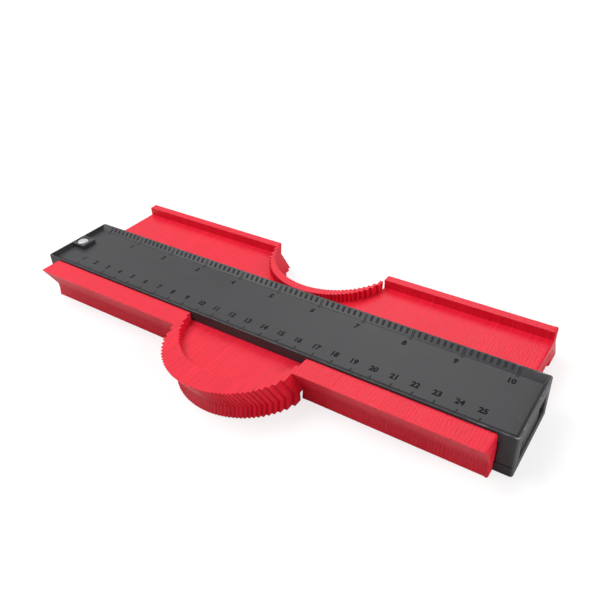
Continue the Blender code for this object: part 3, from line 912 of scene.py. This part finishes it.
# %% Bolt, lever, screws and strips
DOME_HEIGHT = 0.5
DOME_STEPS = ((0.35, 0.28), (0.7, 0.17), (0.8, 0.05))
SHANK_RADIUS = 1.5
SHANK_END = 4.2
TONGUE_HALF_LENGTH = 1.35
TONGUE_HALF_WIDTH = 1.2
CROSS_HOLE = 0.85
CROSS_HOLE_HEIGHT = 1.9
SCREW_HEAD_RADIUS = 2.2
SCREW_HEAD_DEPTH = 1.5
SCREW_HEAD_EDGE = 0.4
SCREW_RADIUS = 1.1
SCREW_SHANK = 8.9
SCREW_POINT = 1.0
SLOT_REACH = 1.2
SLOT_HALF = 0.25
SLOT_DEPTH = 0.8


def dress(piece, node, body):
    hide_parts(node)
    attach(piece, body)
    print(piece.name, triangles(piece), "triangles")


def make_bolt():
    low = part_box("clamp_bolt")[0].z / MM
    seat = BOSS_TOP - BOLT_HEAD_DEPTH
    bolt = start_round("bright_bolt", (BOLT_X, 0), BOLT_RADIUS, seat, BOSS_TOP - DOME_HEIGHT, 64,
                       bright_zinc)
    open_piece(bolt)
    pick(bolt, "FACE", lambda face: face.normal.z > 0.9)
    for inward, upward in DOME_STEPS:
        bpy.ops.mesh.inset(thickness=inward * MM, depth=upward * MM)
    pick(bolt, "FACE", lambda face: face.normal.z < -0.9)
    bpy.ops.mesh.inset(thickness=(BOLT_RADIUS - SHANK_RADIUS) * MM)
    step = {"value": (0, 0, (SHANK_END - seat) * MM)}
    bpy.ops.mesh.extrude_region_move(TRANSFORM_OT_translate=step)
    close_piece()
    tongue = start_box("tongue", (BOLT_X - TONGUE_HALF_LENGTH, -TONGUE_HALF_WIDTH, low),
                       (BOLT_X + TONGUE_HALF_LENGTH, TONGUE_HALF_WIDTH, SHANK_END + GAP),
                       bright_zinc)
    round_edges(tongue, 0.2)
    combine(bolt, tongue, "UNION")
    hole = start_round("cross_hole", (0, 0), CROSS_HOLE, -3, 3, 32)
    hole.rotation_euler.x = math.pi / 2
    hole.location = (BOLT_X * MM, 0, CROSS_HOLE_HEIGHT * MM)
    cut(bolt, settle(hole))
    shade(bolt, 40)
    return bolt


def clean_copy(node, name, width, finish):
    """A merged and softened copy of one of the frame's solids."""
    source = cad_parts[node]
    piece = bpy.data.objects.new(name, source.data.copy())
    bpy.context.scene.collection.objects.link(piece)
    piece.data.materials.clear()
    piece.data.materials.append(finish)
    open_piece(piece)
    bpy.ops.mesh.select_all(action="SELECT")
    bpy.ops.mesh.remove_doubles(threshold=0.000002)
    bpy.ops.mesh.dissolve_limited(angle_limit=math.radians(1))
    close_piece()
    round_edges(piece, width)
    shade(piece, 40)
    return piece


def make_screw(number):
    low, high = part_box(f"cover_screw_{number}")
    x, y = (low.x + high.x) / 2 / MM, (low.y + high.y) / 2 / MM
    base = low.z / MM
    screw = start_round(f"bright_screw_{number}", (x, y), SCREW_HEAD_RADIUS,
                        base, base + SCREW_HEAD_DEPTH, 48, bright_zinc)
    open_piece(screw)
    pick(screw, "EDGE", lambda edge: middle(edge).z < base + 0.01)
    bpy.ops.mesh.bevel(offset=SCREW_HEAD_EDGE * MM, segments=4)
    pick(screw, "FACE", lambda face: face.normal.z > 0.9)
    bpy.ops.mesh.inset(thickness=(SCREW_HEAD_RADIUS - SCREW_RADIUS) * MM)
    for length in (SCREW_SHANK, SCREW_POINT):
        step = {"value": (0, 0, length * MM)}
        bpy.ops.mesh.extrude_region_move(TRANSFORM_OT_translate=step)
    bpy.ops.transform.resize(value=(0.4, 0.4, 1), center_override=(x * MM, y * MM, 0))
    close_piece()
    for half_x, half_y in ((SLOT_REACH, SLOT_HALF), (SLOT_HALF, SLOT_REACH)):
        cut_box(screw, (x - half_x, y - half_y, base - 1),
                (x + half_x, y + half_y, base + SLOT_DEPTH))
    shade(screw, 40)
    return screw


dress(make_bolt(), "clamp_bolt", "frame")
lever = clean_copy("lock_lever", "black_lever", 0.2, black_coat)
dress(lever, "lock_lever", "lock")
pin = clean_copy("lever_pin", "bright_pin", 0.1, bright_zinc)
dress(pin, "lever_pin", "frame")
for number in (1, 2):
    dress(make_screw(number), f"cover_screw_{number}", "frame")
for node in ("upper_strip", "lower_strip"):
    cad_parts[node].data.materials.clear()
    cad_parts[node].data.materials.append(foam_rubber)

# %% [markdown]
# ## Floor, light and camera
# A plain pale floor and soft light from above. The key lamp stands where the sloping inch band
# mirrors it, and the left and back lamps light the tops but not the walls that face the reader.
# To the camera the surroundings are plain white. The camera's place was found from the scale: each
# numeral is a known point on the gauge and a known point in the picture.

# %% Floor
def make_floor():
    bpy.ops.object.select_all(action="DESELECT")
    bpy.ops.mesh.primitive_plane_add(size=6, location=(0, 0, -0.00005))
    floor = bpy.context.object
    floor.name = "floor"
    material = new_finish("white_floor", (0.70, 0.70, 0.70), 0.9)
    shader = material.node_tree.nodes["Principled BSDF"]
    shader.inputs["Specular IOR Level"].default_value = 0.0
    glow = add_node(material, "ShaderNodeEmission", Strength=1.25)
    path = add_node(material, "ShaderNodeLightPath")
    share = add_node(material, "ShaderNodeMath", operation="MULTIPLY")
    share.inputs[1].default_value = 0.6
    join_nodes(material, path.outputs["Is Camera Ray"], share.inputs[0])
    mixed = add_node(material, "ShaderNodeMixShader")
    join_nodes(material, share.outputs[0], mixed.inputs[0])
    join_nodes(material, shader.outputs[0], mixed.inputs[1])
    join_nodes(material, glow.outputs[0], mixed.inputs[2])
    output = material.node_tree.nodes["Material Output"]
    join_nodes(material, mixed.outputs[0], output.inputs["Surface"])
    floor.data.materials.append(material)


make_floor()
print("floor ready")

# %% World and lamps
WORLD_LEVEL = 0.18


def make_world():
    world = bpy.data.worlds.new("studio")
    world.use_nodes = True
    bpy.context.scene.world = world
    nodes, links = world.node_tree.nodes, world.node_tree.links
    background = nodes["Background"]
    background.inputs["Color"].default_value = (1, 1, 1, 1)
    path = nodes.new("ShaderNodeLightPath")
    level = nodes.new("ShaderNodeMapRange")
    level.inputs["To Min"].default_value = WORLD_LEVEL
    level.inputs["To Max"].default_value = 1.0
    links.new(path.outputs["Is Camera Ray"], level.inputs["Value"])
    links.new(level.outputs["Result"], background.inputs["Strength"])


def add_lamp(name, place, size, power):
    """A soft square lamp that looks at the middle of the gauge."""
    data = bpy.data.lights.new(name, "AREA")
    data.size = size
    data.energy = power
    lamp = bpy.data.objects.new(name, data)
    lamp.location = place
    lamp.rotation_euler = (-Vector(place)).to_track_quat("-Z", "Y").to_euler()
    bpy.context.scene.collection.objects.link(lamp)


make_world()
add_lamp("key", (-0.60, -0.30, 1.0), 0.7, 12)
add_lamp("left", (-1.1, 0.55, 0.8), 0.8, 2.2)
add_lamp("back", (-0.3, 0.9, 0.95), 0.8, 5.5)
add_lamp("side", (1.1, -0.1, 0.6), 0.6, 7.5)
bpy.context.scene.view_settings.view_transform = "Standard"
print("world", WORLD_LEVEL, "and four lamps")

# %% Camera
CAMERA_PLACE = Vector((173.75, -210.2, 214.2)) * MM
CAMERA_LOOK = Vector((-0.4735, 0.6669, -0.5754))
CAMERA_ROLL = -2.94
LENS = 39.52
SENSOR = 36.0


def make_camera():
    data = bpy.data.cameras.new("camera")
    data.lens = LENS
    data.sensor_width = SENSOR
    data.clip_start = 0.01
    camera = bpy.data.objects.new("camera", data)
    camera.location = CAMERA_PLACE
    camera.rotation_euler = CAMERA_LOOK.to_track_quat("-Z", "Y").to_euler()
    camera.rotation_euler.rotate_axis("Z", math.radians(CAMERA_ROLL))
    bpy.context.scene.collection.objects.link(camera)
    bpy.context.scene.camera = camera


make_camera()
print("camera ready")

# %% Finish
bpy.context.view_layer.update()
